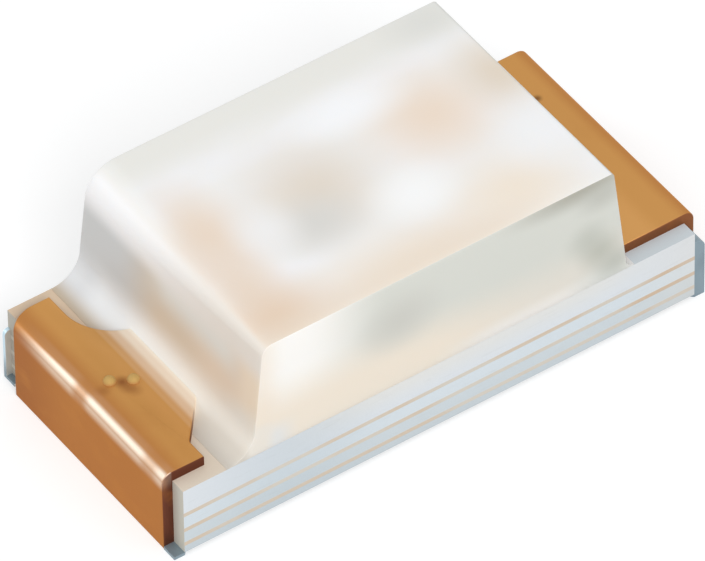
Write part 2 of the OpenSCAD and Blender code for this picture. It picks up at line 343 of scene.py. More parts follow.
@dataclass(frozen=True)
class CopperFinish:
    """Satin copper foil, brown at its cut sides, with a painted brown shade round its outer bend.

    Attributes:
        name: The material's name.
        highlighted: Whether a painted highlight lies along its bend.
        milky: Whether a milky film of resin thins out over its neck.
        speck: Middle of a dark speck on it, in millimetres, if it has one.
        painted_shadows: Soft painted shadows on its top, as their middles and their strengths.
        bend_shade_from: Distances from the board's middle between which a painted brown shade comes in on
            its top.
        cut: Colour of its cut sides.
        cut_pale: The same where they are paler.
        face: Colour on top.
        face_mottle: Colour of the mottling there.
        lit: Painted light on top, away from the bend, that makes it lighter there.
        bend_shade: Colour of the painted shade on top by the bend.
        leg: Colour down the end face.
        leg_far: The same towards +Y.
        leg_mottle: Colour of the mottling there.
        painted_highlight: Colour of that painted highlight.
        breaks: Where that highlight breaks off, each as its middle, its reach and its depth.
        film: Colour of the milky film.
        painted_shadow: Colour of the painted shadows.
        speck_colour: Colour of the speck.
        top: Height of its top.
    """

    name: str
    highlighted: bool = False
    milky: bool = False
    speck: tuple[float, float] | None = None
    painted_shadows: tuple[Triple, ...] = ()
    bend_shade_from: tuple[float, float] = (1.49, 1.60)
    cut: Colour = from_screen(108, 62, 48)
    cut_pale: Colour = from_screen(150, 92, 52)
    face: Colour = from_screen(200, 147, 84)
    face_mottle: Colour = from_screen(192, 138, 78)
    lit: Colour = from_screen(208, 155, 92)
    bend_shade: Colour = from_screen(182, 123, 68)
    leg: Colour = from_screen(178, 118, 66)
    leg_far: Colour = from_screen(160, 98, 57)
    leg_mottle: Colour = from_screen(186, 126, 68)
    painted_highlight: Colour = from_screen(236, 220, 202)
    breaks: tuple[Triple, ...] = ((0.055, 0.095, 0.66), (-0.57, 0.1, 0.45))
    film: Colour = from_screen(253, 244, 230)
    painted_shadow: Colour = from_screen(140, 84, 46)
    speck_colour: Colour = from_screen(104, 66, 40)
    top: float = 0.524

    def bare(self, tree: Tree) -> bpy.types.NodeSocket:
        """The copper's colour on top, down the leg and at the cut sides, with a painted shade by the bend
        and painted light further in.
        """
        out, up = tree.sum("ABSOLUTE", tree.axis(0)), tree.facing(Facing.UP)
        soft = tree.noise(3.0, (1.0, 1.0, 2.0))
        colour = tree.mix(self.face, self.face_mottle, tree.rise(soft, 0.5, 0.8, 0.5))
        # Painted brown shade on top towards the bend.
        colour = tree.mix(colour, self.bend_shade, tree.rise(out, *self.bend_shade_from, 0.9))
        leg = tree.mix(self.leg, self.leg_far, tree.rise(tree.axis(1), 0.15, 0.65, 0.9))
        leg = tree.mix(leg, self.leg_mottle, tree.rise(soft, 0.5, 0.7, 0.5))
        colour = tree.mix(colour, leg, tree.rise(up, 0.6, 0.2))
        # Painted light on top, further in from the bend.
        colour = tree.mix(colour, self.lit, tree.times(tree.rise(out, 1.47, 1.36), tree.rise(up, 0.8, 0.95)))
        cut = tree.mix(self.cut, self.cut_pale, tree.rise(tree.noise(7.0), 0.5, 0.75, 0.8))
        sides = tree.sum("MAXIMUM", tree.facing(Facing.NEAR), tree.facing(Facing.FAR))
        inner = tree.times(tree.rise(up, 0.5, 0.2), tree.rise(out, 1.56, 1.5))
        return tree.mix(colour, cut, tree.sum("MAXIMUM", tree.rise(sides, 0.4, 0.8), inner))

    def broken(self, tree: Tree) -> bpy.types.NodeSocket:
        """The painted highlight across the board: it fades at both ends and breaks off twice."""
        across = tree.axis(1)
        whole = tree.times(tree.rise(across, 0.70, 0.26), tree.rise(across, -0.71, -0.69))
        for middle, reach, depth in self.breaks:
            away = tree.sum("ABSOLUTE", tree.sum("SUBTRACT", across, middle))
            gap = tree.rise(away, reach, reach * 0.2, depth)
            whole = tree.times(whole, tree.sum("SUBTRACT", 1.0, gap))
        return whole

    def light_line(self, tree: Tree) -> bpy.types.NodeSocket:
        """The painted highlight: bright round the bend, paler just below it, and faint just above it."""
        out, up = tree.sum("ABSOLUTE", tree.axis(0)), tree.facing(Facing.UP)
        lower = tree.sum("ADD", up, tree.rise(tree.axis(1), 0.0, 0.6, 0.12))
        bend = tree.times(tree.rise(lower, 0.15, 0.66), tree.rise(lower, 0.995, 0.80))
        below = tree.times(tree.rise(tree.axis(2), 0.405, 0.48, 0.72), tree.rise(up, 0.75, 0.1))
        outside = tree.times(tree.sum("MAXIMUM", bend, below), tree.rise(out, 1.6, 1.61))
        above = tree.times(tree.rise(out, 1.57, 1.60, 0.09), tree.rise(up, 0.6, 0.9))
        return tree.times(tree.sum("MAXIMUM", outside, above), self.broken(tree))

    def film_share(self, tree: Tree) -> bpy.types.NodeSocket:
        """How much of the milky film shows: more and more towards the lens, with fine ripples."""
        along = tree.axis(0)
        ripples = tree.sum("SINE", tree.times(along, 130.0))
        film = tree.sum("ADD", tree.rise(along, -1.362, -1.19), tree.times(ripples, 0.06))
        return tree.times(film, tree.rise(along, -1.39, -1.33))

    def build(self) -> bpy.types.Material:
        """The material."""
        tree = Tree(self.name)
        colour = self.bare(tree)
        # Painted highlight along the bend.
        if self.highlighted:
            colour = tree.mix(colour, self.painted_highlight, self.light_line(tree))
        if self.milky:
            colour = tree.mix(colour, self.film, self.film_share(tree))
        # Painted shadows on top, such as those of the polarity dots.
        for x, y, strength in self.painted_shadows:
            colour = tree.mix(colour, self.painted_shadow, tree.spot((x, y, self.top), (0.06, 0.06, 0.03), strength))
        if self.speck:
            speck = tree.spot((*self.speck, self.top), (0.036, 0.036, 0.03), 0.8)
            colour = tree.mix(colour, self.speck_colour, speck)
        tree.bump(tree.noise(30.0), 0.002, 0.2)
        return tree.finish(colour, Metallic=0.75, Roughness=0.45, Specular_IOR_Level=0.3,
                           Specular_Tint=(1.0, 0.72, 0.45, 1.0))


@dataclass(frozen=True)
class MilkFinish:
    """Milky moulded resin with soft warm and grey patches of painted reflection and shade, and painted
    highlights on its edges and foot.

    Attributes:
        name: The material's name.
        top_light_patches: The painted reflection and shade patches on top.
        side_light_patches: The painted reflection and shade patches on the long sides.
        top: Colour on top.
        top_streak: Colour of faint streaks there.
        top_far: Colour of the strip along the +Y edge, a painted grey shade.
        top_near: Colour along the -Y edge.
        top_corner: Colour at the far corner over the cathode, a whiter painted highlight.
        side_cathode: Colour of the long sides at the cathode's end, painted pale as lit.
        side_anode: The same at the anode's end, painted greyer as shade.
        side_edge: The same right at the cathode's edge.
        side_low: Colour of their lower part.
        side_right: The same at the anode's end.
        side_base: The same next to the board there.
        side_foot: Colour of the foot as seen from the side, a pale painted highlight.
        wall: Colours of the leaning wall, from +Y to -Y: a painted shade, grey at +Y and tan further on.
        wall_high: Colour high up on it.
        edge_highlight: Colours of the painted highlight on its upper edge, at +Y and at -Y.
        foot: Colours of the hollow foot, at +Y and at -Y, painted pale as a highlight.
        foot_grey: Colour of the painted shade on the foot at +Y.
        films: Colours of the foot's thin edge, at +Y and at -Y.
    """

    name: str
    top_light_patches: tuple[LightPatch, ...]
    side_light_patches: tuple[LightPatch, ...]
    top: Colour = from_screen(241, 240, 238)
    top_streak: Colour = from_screen(245, 245, 249)
    top_far: Colour = from_screen(233, 232, 226)
    top_near: Colour = from_screen(233, 219, 202)
    top_corner: Colour = from_screen(244, 244, 242)
    side_cathode: Colour = from_screen(252, 249, 244)
    side_anode: Colour = from_screen(216, 217, 209)
    side_edge: Colour = from_screen(236, 216, 192)
    side_low: Colour = from_screen(240, 228, 211)
    side_right: Colour = from_screen(229, 223, 212)
    side_base: Colour = from_screen(240, 235, 228)
    side_foot: Colour = from_screen(228, 229, 228)
    wall: tuple[Colour, ...] = (from_screen(207, 208, 207), from_screen(216, 201, 181),
                                from_screen(229, 211, 191), from_screen(238, 221, 199))
    wall_high: Colour = from_screen(228, 225, 217)
    edge_highlight: tuple[Colour, ...] = (from_screen(249, 248, 248), from_screen(234, 226, 216))
    foot: tuple[Colour, ...] = (from_screen(237, 238, 238), from_screen(236, 229, 218))
    foot_grey: Colour = from_screen(224, 225, 226)
    films: tuple[Colour, ...] = (from_screen(206, 188, 164), from_screen(218, 210, 198))

    def patched(self, tree: Tree, colour, patches: tuple[LightPatch, ...]) -> bpy.types.NodeSocket:
        """A colour with painted light patches laid over it in turn.

        Args:
            tree: The material's nodes.
            colour: The colour under them.
            patches: The painted light patches.

        Returns:
            The patched colour.
        """
        for patch in patches:
            colour = tree.mix(colour, patch.colour, tree.spot(patch.centre, patch.reach, patch.strength))
        return colour

    def end_wall(self, tree: Tree) -> bpy.types.NodeSocket:
        """The leaning wall's colour, a painted shade: grey at the far side, tan from the middle on, and
        greyer high up.
        """
        across, height = tree.axis(1), tree.axis(2)
        wall = tree.mix(self.wall[0], self.wall[1], tree.rise(across, 0.48, 0.05))
        wall = tree.mix(wall, self.wall[2], tree.rise(across, -0.05, -0.45))
        wall = tree.mix(wall, self.wall[3], tree.rise(across, -0.56, -0.72))
        middle = tree.times(tree.rise(across, 0.3, 0.0), tree.rise(across, -0.68, -0.45))
        return tree.mix(wall, self.wall_high, tree.times(middle, tree.rise(height, 0.76, 0.95)))

    def end_foot(self, tree: Tree) -> bpy.types.NodeSocket:
        """The hollow foot's colour: a pale painted highlight, and tan where it thins out towards its edge.
        """
        along, across = tree.axis(0), tree.axis(1)
        foot = tree.mix(*self.foot, tree.rise(across, 0.62, -0.6))
        foot = tree.mix(foot, self.foot_grey, tree.rise(across, 0.52, 0.70))
        far_film = tree.mix(foot, self.films[0], tree.rise(along, -1.22, -1.33))
        near_film = tree.mix(foot, self.films[1], tree.rise(along, -1.17, -1.23))
        return tree.mix(far_film, near_film, tree.rise(across, -0.3, -0.5))

    def end_colour(self, tree: Tree) -> bpy.types.NodeSocket:
        """The cathode end's colour: its foot, its wall and a painted highlight on its upper edge, warmer on
        the near side.
        """
        across, height = tree.axis(1), tree.axis(2)
        low = tree.sum("SUBTRACT", height, tree.rise(across, -0.45, -0.7, 0.05))
        colour = tree.mix(self.end_wall(tree), self.end_foot(tree), tree.rise(low, 0.74, 0.54))
        # Painted highlight along the rounded upper edge.
        edge_highlight = tree.mix(*self.edge_highlight, tree.rise(across, 0.62, -0.6))
        return tree.mix(colour, edge_highlight, tree.rise(height, 0.90, 1.05))

    def top_colour(self, tree: Tree) -> bpy.types.NodeSocket:
        """The top's colour, with its streaks, its painted light patches and its edges: painted shade along
        +Y and a painted highlight at the far cathode corner.
        """
        along, across = tree.axis(0), tree.axis(1)
        streak = tree.rise(tree.noise(2.2, (0.8, 2.0, 1.0), 1.5), 0.4, 0.75, 0.5)
        top = tree.mix(self.top, self.top_streak, streak)
        top = tree.mix(top, self.top_far, tree.rise(across, 0.44, 0.70, 0.95))
        top = self.patched(tree, top, self.top_light_patches)
        near = tree.times(tree.rise(across, -0.58, -0.78, 0.6), tree.rise(along, 0.8, 0.3))
        top = tree.mix(top, self.top_near, near)
        corner = tree.times(tree.rise(across, 0.0, 0.4, 0.6), tree.rise(along, -0.90, -1.06))
        return tree.mix(top, self.top_corner, corner)

    def side_colour(self, tree: Tree) -> bpy.types.NodeSocket:
        """The long sides' painted light and shade: pale at the cathode's end, greyer at the anode's and warm
        low down.
        """
        along, height = tree.axis(0), tree.axis(2)
        side = tree.mix(self.side_cathode, self.side_anode, tree.rise(along, -0.88, -0.30))
        low = tree.mix(self.side_low, self.side_right, tree.rise(along, -0.1, 0.8))
        base = tree.times(tree.rise(along, -0.1, 0.4), tree.rise(height, 0.58, 0.48))
        low = tree.mix(low, self.side_base, base)
        starts = tree.sum("ADD", height, tree.rise(along, -0.6, 0.5, 0.10))
        side = tree.mix(side, low, tree.rise(starts, 0.97, 0.62, 0.95))
        foot = tree.times(tree.rise(along, -0.86, -1.06), tree.rise(height, 0.66, 0.52))
        side = tree.mix(side, self.side_foot, foot)
        edge = tree.times(tree.rise(along, -0.94, -1.12, 0.45), tree.rise(height, 0.6, 0.8))
        return self.patched(tree, tree.mix(side, self.side_edge, edge), self.side_light_patches)

    def build(self) -> bpy.types.Material:
        """The material."""
        tree = Tree(self.name)
        end = self.end_colour(tree)
        colour = tree.mix(self.side_colour(tree), end, tree.rise(tree.facing(Facing.CATHODE), 0.30, 0.70))
        colour = tree.mix(colour, self.top_colour(tree), tree.rise(tree.facing(Facing.UP), 0.72, 0.97))
        shallow = tree.times(tree.rise(tree.axis(2), 0.7, 0.6), tree.rise(tree.axis(0), -1.0, -1.1))
        colour = tree.mix(colour, end, shallow)
        tree.bump(tree.noise(6.0), 0.004, 0.12)
        tree.shader.inputs["Subsurface Radius"].default_value = (1.0, 0.9, 0.8)
        return tree.finish(colour, Roughness=0.36, Subsurface_Weight=0.2, Subsurface_Scale=0.1 * MM,
                           Specular_IOR_Level=0.25)


@dataclass(frozen=True)
class TinFinish:
    """Blue-grey tin plating.

    Attributes:
        name: The material's name.
        pale_ear: Whether its ear at +Y takes a pale blue painted highlight towards its top, with a warm grey
            inner face painted lighter against the shade there.
        colour: Its colour.
        mottle: The colour of the mottling.
        ear_highlight: The ear's pale blue painted highlight.
        ear_inside: The colour of the ear's inner face, painted lighter against the shade there.
    """

    name: str
    pale_ear: bool = False
    colour: Colour = from_screen(136, 154, 164)
    mottle: Colour = from_screen(122, 139, 149)
    ear_highlight: Colour = from_screen(204, 228, 240)
    ear_inside: Colour = from_screen(236, 232, 224)

    def build(self) -> bpy.types.Material:
        """The material."""
        tree = Tree(self.name)
        noise = tree.noise(7.0)
        colour = tree.mix(self.colour, self.mottle, tree.rise(noise, 0.4, 0.75, 0.7))
        if self.pale_ear:
            # Painted pale blue highlight on the ear's top, and its inner face painted lighter against the
            # shade there.
            across = tree.axis(1)
            ear_highlight = tree.times(tree.rise(across, 0.76, 0.775), tree.rise(tree.axis(2), 0.04, 0.2))
            inside = tree.times(tree.rise(across, 0.5, 0.6), tree.rise(tree.facing(Facing.NEAR), 0.5, 0.8))
            colour = tree.mix(tree.mix(colour, self.ear_highlight, ear_highlight), self.ear_inside, inside)
        tree.bump(noise, 0.002, 0.2)
        return tree.finish(colour, Metallic=0.45, Roughness=0.4)


@dataclass(frozen=True)
class PlainFinish:
    """One colour with fine, faint mottling.

    Attributes:
        name: The material's name.
        colour: Its colour.
        mottle: The colour of the mottling.
        grain: Waves of the mottling in a millimetre.
        metallic: How much of a metal it is.
        roughness: How dull it is.
    """

    name: str
    colour: Colour
    mottle: Colour
    grain: float = 8.0
    metallic: float = 0.0
    roughness: float = 0.45

    def build(self) -> bpy.types.Material:
        """The material."""
        tree = Tree(self.name)
        noise = tree.noise(self.grain)
        tree.bump(noise, 0.002, 0.2)
        colour = tree.mix(self.colour, self.mottle, tree.rise(noise, 0.4, 0.75, 0.7))
        return tree.finish(colour, Metallic=self.metallic, Roughness=self.roughness)


@dataclass(frozen=True)
class DotFinish:
    """Yellowish metal that turns to the copper's brown towards the rim of a low dome.

    Attributes:
        name: The material's name.
        colour: Its colour.
        mottle: The colour of the mottling.
        rim: Its colour at the rim.
        base: Height of the rim.
    """

    name: str = "dot_metal"
    colour: Colour = from_screen(195, 160, 94)
    mottle: Colour = from_screen(188, 150, 86)
    rim: Colour = from_screen(192, 144, 84)
    base: float = 0.524

    def build(self) -> bpy.types.Material:
        """The material."""
        tree = Tree(self.name)
        colour = tree.mix(self.colour, self.mottle, tree.rise(tree.noise(12.0), 0.4, 0.75, 0.7))
        colour = tree.mix(self.rim, colour, tree.rise(tree.axis(2), self.base, self.base + 0.016))
        return tree.finish(colour, Metallic=0.3, Roughness=0.75)


def arc(centre: Sequence[float], radius: float, start: float, end: float, steps: int) -> np.ndarray:
    """Points along an arc: centre + radius (cos a, sin a), with the angle a in even steps.

    Args:
        centre: The arc's centre.
        radius: Its radius.
        start: The first angle, in degrees.
        end: The last angle.
        steps: The number of steps.

    Returns:
        The points, both ends included.
    """
    angle = np.radians(np.linspace(start, end, steps + 1))
    return np.asarray(centre) + radius * np.stack([np.cos(angle), np.sin(angle)], axis=1)


def bands(rows: int, count: int) -> np.ndarray:
    """Four-sided faces between closed rings of points that follow each other.

    Args:
        rows: The number of rings.
        count: The points in each.

    Returns:
        The faces, with one row of four numbers each.
    """
    row, step = np.meshgrid(np.arange(rows - 1), np.arange(count), indexing="ij")
    after = (step + 1) % count
    low, high = row * count, (row + 1) * count
    return np.stack([low + step, low + after, high + after, high + step], axis=-1).reshape(-1, 4)


def new_piece(name: str, points: np.ndarray, faces: list[list[int]], material: bpy.types.Material,
              crease: float = 35.0) -> bpy.types.Object:
    """A piece of the part, with smooth shading except across sharp edges.

    Args:
        name: The piece's name.
        points: Its points, in millimetres.
        faces: Its faces, as lists of point numbers.
        material: Its material.
        crease: Edges that turn by more degrees than this stay sharp.

    Returns:
        The piece.
    """
    mesh = bpy.data.meshes.new(name)
    mesh.from_pydata((points * MM).tolist(), [], faces)
    mesh.validate()
    mesh.shade_smooth()
    mesh.set_sharp_from_angle(angle=math.radians(crease))
    mesh.materials.append(material)
    piece = bpy.data.objects.new(name, mesh)
    bpy.context.scene.collection.objects.link(piece)
    return piece


def close_seams(piece: bpy.types.Object) -> None:
    """Joins a piece's points that coincide, drops faces without area and turns the rest outwards."""
    mesh, tiny = bmesh.new(), 1e-5 * MM
    mesh.from_mesh(piece.data)
    bmesh.ops.remove_doubles(mesh, verts=mesh.verts, dist=tiny)
    bmesh.ops.dissolve_degenerate(mesh, edges=mesh.edges, dist=tiny)
    bmesh.ops.recalc_face_normals(mesh, faces=mesh.faces)
    mesh.to_mesh(piece.data)
    mesh.free()


def stand_for(piece: bpy.types.Object, node: str) -> None:
    """Lets a piece stand for a CAD node: it joins the root body, and the node is hidden.

    Args:
        piece: The piece.
        node: The CAD node's name.
    """
    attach(piece, "root")
    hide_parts(node)
    LOG.info("%s: %d points, stands for %s", piece.name, len(piece.data.vertices), node)


@dataclass
class Board:
    """The laminated board: four plies of glass cloth with three resin lines between them.

    Attributes:
        sides: Colours of the plies' long sides, from the top one down.
    """

    sides: tuple[Colour, ...] = (from_screen(223, 228, 233), from_screen(216, 225, 231),
                                 from_screen(207, 216, 221), from_screen(201, 210, 215))

    def build(self, nodes: dict[str, bpy.types.Object]) -> None:
        """Gives the plies and the lines their materials.

        Args:
            nodes: The CAD nodes by name.
        """
        bond = BondFinish().build()
        for number, side in enumerate(self.sides, start=1):
            dress(nodes[f"board_ply_{number}"], PlyFinish(f"board_ply_{number}", side, number == 1).build())
            if number < len(self.sides):
                dress(nodes[f"bond_line_{number}"], bond)
        LOG.info("board: %d plies", len(self.sides))


def dress(node: bpy.types.Object, material: bpy.types.Material) -> None:
    """Gives a CAD node one material.

    Args:
        node: The node's object.
        material: The material.
    """
    node.data.materials.clear()
    node.data.materials.append(material)


@dataclass
class Terminal:
    """Copper foil that is folded over one end of the board.

    The foil is laid out flat first: u is the distance from the board's middle along the foil's outer face,
    and v the distance across. Rings of its outline, each drawn in a little further and a little higher,
    round its edges. Then the layout is folded: flat on the board, a quarter turn about the board's corner,
    and straight down.

    Attributes:
        node: The CAD node that it stands for.
        finish: Its finish.
        sign: -1 at the cathode's end and 1 at the anode's.
        far: The +Y side of its plan, as points (u, v) from the end face inwards.
        near: The -Y side in the same way, with v below 0.
        leg_far: v of the leg's +Y edge.
        end: Distance of the end face from the board's middle.
        board_top: Height of the board's top.
        thickness: Thickness of the foil.
        rounding: Rounding of its edges.
        bend_steps: Steps in the bend.
        edge_steps: Steps in the rounding.
    """

    node: str
    finish: CopperFinish
    sign: int
    far: np.ndarray
    near: np.ndarray
    leg_far: float
    end: float = 1.6
    board_top: float = 0.46
    thickness: float = 0.064
    rounding: float = 0.008
    bend_steps: int = 16
    edge_steps: int = 4

    def layout(self) -> np.ndarray:
        """The flat outline: up the leg and the bend at -Y, along the plan, and back down at +Y.

        From the first point of the +Y side, at the distance a, to the bend's end, at b, that side draws in
        to the leg's edge by the share s s (3 - 2 s), where s = (u - a) / (b - a).

        Returns:
            Its points (u, v). The first ones and the last ones, one more than the bend has steps and one
            for the leg's foot, lie opposite each other.
        """
        bend = self.end + self.thickness * np.pi / 2 * np.linspace(1, 0, self.bend_steps + 1)
        rise = np.concatenate([[bend[0] + self.board_top], bend])
        near_rim = np.column_stack([rise, np.full(len(rise), self.near[0, 1])])
        outwards = np.concatenate([np.linspace(self.far[0, 0], self.end, 6)[:-1], rise[::-1]])
        share = np.clip((outwards - self.far[0, 0]) / (bend[0] - self.far[0, 0]), 0, 1)
        drop = (self.far[0, 1] - self.leg_far) * share**2 * (3 - 2 * share)
        far_rim = np.column_stack([outwards, self.far[0, 1] - drop])
        return np.concatenate([near_rim, self.near[1:], self.far[:0:-1], far_rim])

    def drawn_in(self, outline: np.ndarray, inset: float) -> np.ndarray:
        """An outline with each edge moved inwards by the same distance.

        Each point moves by inset (m + n) / (1 + m . n), where m and n are the normals of its two edges.

        Args:
            outline: The closed outline.
            inset: The distance.

        Returns:
            The new outline.
        """
        edges = np.roll(outline, -1, axis=0) - outline
        normal = np.stack([edges[:, 1], -edges[:, 0]], axis=1) / np.linalg.norm(edges, axis=1, keepdims=True)
        before = np.roll(normal, 1, axis=0)
        return outline + inset * (before + normal) / (1 + np.sum(before * normal, axis=1, keepdims=True))

    def folded(self, layout: np.ndarray, height: float) -> np.ndarray:
        """Points of the foil from points of its layout.

        Args:
            layout: The points (u, v).
            height: Their distance from the board.

        Returns:
            The points in space, in millimetres.
        """
        u, v = layout[:, 0], layout[:, 1]
        turn = np.clip((u - self.end) / self.thickness, 0, np.pi / 2)
        along = np.minimum(u, self.end) + height * np.sin(turn)
        drop = np.maximum(u - self.end - self.thickness * np.pi / 2, 0)
        return np.column_stack([self.sign * along, v, self.board_top + height * np.cos(turn) - drop])

    def build(self) -> bpy.types.Object:
        """Builds the foil.

        Returns:
            The piece.
        """
        outline = self.layout()
        turn = np.radians(np.linspace(0, 90, self.edge_steps + 1))
        insets = self.rounding * (1 - np.cos(turn))
        heights = self.thickness - self.rounding * (1 - np.sin(turn))
        rings = [self.folded(outline, 0.0)]
        rings += [self.folded(self.drawn_in(outline, a), h) for a, h in zip(insets, heights)]
        rings = np.stack(rings)
        rows, count = rings.shape[:2]
        rim = self.bend_steps + 1
        step = np.arange(rim)
        sheet = np.column_stack([step, step + 1, count - 2 - step, count - 1 - step])
        plan = list(range(rim, count - rim))
        top = (rows - 1) * count
        upper = [[top + point for point in face] for face in [*sheet.tolist(), plan]]
        under = [face[::-1] for face in [sheet[0].tolist(), plan]]
        faces = bands(rows, count).tolist() + upper + under
        piece = new_piece(self.node + "_foil", rings.reshape(-1, 3), faces, self.finish.build(), 50)
        close_seams(piece)
        stand_for(piece, self.node)
        return piece


@dataclass
class Lens:
    """The milky lens: sections carried across the board, each a leaning wall with a hollow foot and a
    rounded top edge at either end. The cathode's top edge grows rounder towards the far side.

    Attributes:
        finish: Its finish.
        foot_x: Distance from the board's middle to where the end walls would meet the board.
        top_x: Distance to where they would meet the top.
        base: Height of the board's top.
        top: Height of the lens's top.
        side_y: Distance of the long sides from the board's middle.
        side_in: How far they lean inwards up to the top.
        edge_near: Radius of the cathode's top edge at the near side.
        edge_far: The same at the far side.
        edge_anode: Radius of the anode's top edge.
        foot_cathode: Radius of the hollow foot at the cathode's end.
        foot_anode: The same at the anode's end.
        film: Thickness of the foot's thin edge.
        rounding: Rounding of the edges of the long sides.
        sections: The sections across the lens.
        steps: Steps in that rounding.
    """

    finish: MilkFinish
    base: float = 0.46
    top: float = 1.18
    foot_x: float = 1.17
    top_x: float = 1.09
    side_y: float = 0.8
    side_in: float = 0.01
    edge_near: float = 0.07
    edge_far: float = 0.19
    edge_anode: float = 0.028
    foot_cathode: float = 0.18
    foot_anode: float = 0.05
    film: float = 0.002
    rounding: float = 0.004
    sections: int = 33
    steps: int = 6

    def end_outline(self, foot: float, edge: float) -> np.ndarray:
        """Half of a section, as if its end lay towards -X.

        The foot is an arc from a thin film on the board up to the wall, the wall is straight, and the edge
        is an arc from the wall to the top. Both arcs turn through a right angle less the wall's lean.

        Args:
            foot: Radius of the foot.
            edge: Radius of the top edge.

        Returns:
            Its points in X and Z, from the film's lower edge to the top.
        """
        turn = 90 - math.degrees(math.atan((self.foot_x - self.top_x) / (self.top - self.base)))
        reach = math.tan(math.radians(turn / 2))
        film_x = -self.foot_x - foot * reach
        hollow = arc((film_x, self.base + self.film + foot), foot, -90, turn - 90, 20)
        corner = arc((-self.top_x + edge * reach, self.top - edge), edge, 90 + turn, 90, 16)
        return np.concatenate([[[film_x, self.base]], hollow, corner])

    def ring(self, across: float, inset: float, offset: float) -> np.ndarray:
        """One closed ring round the lens.

        Args:
            across: Its place from the near side, 0, to the far side, 1.
            inset: How far its upper outline is drawn inwards, along the outline's normals.
            offset: Its distance from the long side that it belongs to.

        Returns:
            Its points, the upper outline first and then the base.
        """
        edge = self.edge_near + (self.edge_far - self.edge_near) * across
        left = self.end_outline(self.foot_cathode, edge)
        right = self.end_outline(self.foot_anode, self.edge_anode)[::-1] * [-1, 1]
        upper = np.concatenate([left, right])
        along = np.gradient(upper, axis=0)
        normal = np.stack([along[:, 1], -along[:, 0]], axis=1)
        upper = upper + inset * normal / np.linalg.norm(normal, axis=1, keepdims=True)
        upper[:, 1] = np.maximum(upper[:, 1], self.base)
        lower = np.column_stack([upper[-2:0:-1, 0], np.full(len(upper) - 2, self.base)])
        outline = np.concatenate([upper, lower])
        drawn = self.side_in * (outline[:, 1] - self.base) / (self.top - self.base)
        reach = self.side_y - drawn
        near_part = -reach + offset if across < 0.5 else reach - offset
        y = near_part if offset or across in (0.0, 1.0) else (2 * across - 1) * reach
        return np.column_stack([outline[:, 0], y, outline[:, 1]])

    def build(self) -> bpy.types.Object:
        """Builds the lens, closed by a flat face on either long side.

        Returns:
            The piece.
        """
        turn = np.radians(np.linspace(0, 90, self.steps + 1))
        insets, offsets = self.rounding * (1 - np.sin(turn)), self.rounding * (1 - np.cos(turn))
        near = [self.ring(0.0, a, b) for a, b in zip(insets, offsets)]
        far = [self.ring(1.0, a, b) for a, b in zip(insets[::-1], offsets[::-1])]
        middle = [self.ring(across, 0.0, 0.0) for across in np.linspace(0, 1, self.sections)[1:-1]]
        rings = np.stack([*near, *middle, *far])
        rows, count = rings.shape[:2]
        upper = count // 2 + 1
        step = np.arange(1, upper - 2)
        cap = np.column_stack([step, step + 1, count - step - 1, count - step])
        ends = [[0, 1, count - 1], [upper - 2, upper - 1, upper]]
        last = (rows - 1) * count
        near_cap = [face[::-1] for face in cap.tolist() + ends]
        far_cap = [[point + last for point in face] for face in cap.tolist() + ends]
        faces = bands(rows, count).tolist() + near_cap + far_cap
        piece = new_piece("lens_body", rings.reshape(-1, 3), faces, self.finish.build(), 40)
        stand_for(piece, "lens")
        return piece


@dataclass
class Dots:
    """The two low domes on the cathode's copper.

    Attributes:
        finish: Their finish.
        centres: Their middles.
        radius: Their radius.
        height: Their height.
        base: Height of the copper's top.
        rings: Rings of points in each.
        sides: Points in each ring.
    """

    finish: DotFinish
    centres: tuple[tuple[float, float], ...] = ((-1.496, 0.016), (-1.388, -0.044))
    radius: float = 0.036
    height: float = 0.03
    base: float = 0.524
    rings: int = 10
    sides: int = 48

    def dome(self) -> np.ndarray:
        """Rings of one dome, which is a cap of a sphere."""
        share = np.linspace(1, 0.02, self.rings)[:, None]
        angle = np.linspace(0, 2 * np.pi, self.sides, endpoint=False)[None, :]
        ball = (self.radius**2 + self.height**2) / (2 * self.height)
        out = self.radius * share
        rise = (self.height - ball + np.sqrt(ball**2 - out**2)) * np.ones_like(angle)
        return np.stack([out * np.cos(angle), out * np.sin(angle), rise], axis=-1)

    def build(self) -> bpy.types.Object:
        """Builds both domes in one piece.

        Returns:
            The piece.
        """
        dome = self.dome().reshape(-1, 3)
        faces = bands(self.rings, self.sides)
        last = (self.rings - 1) * self.sides
        points, shapes = [], []
        for number, (x, y) in enumerate(self.centres):
            start = number * len(dome)
            points.append(dome + [x, y, self.base])
            shapes += (faces + start).tolist()
            tip, rim = range(start + last, start + len(dome)), range(start, start + self.sides)
            shapes += [list(tip), list(rim)[::-1]]
        piece = new_piece("polarity_dot_domes", np.concatenate(points), shapes, self.finish.build(), 60)
        stand_for(piece, "polarity_dots")
        return piece


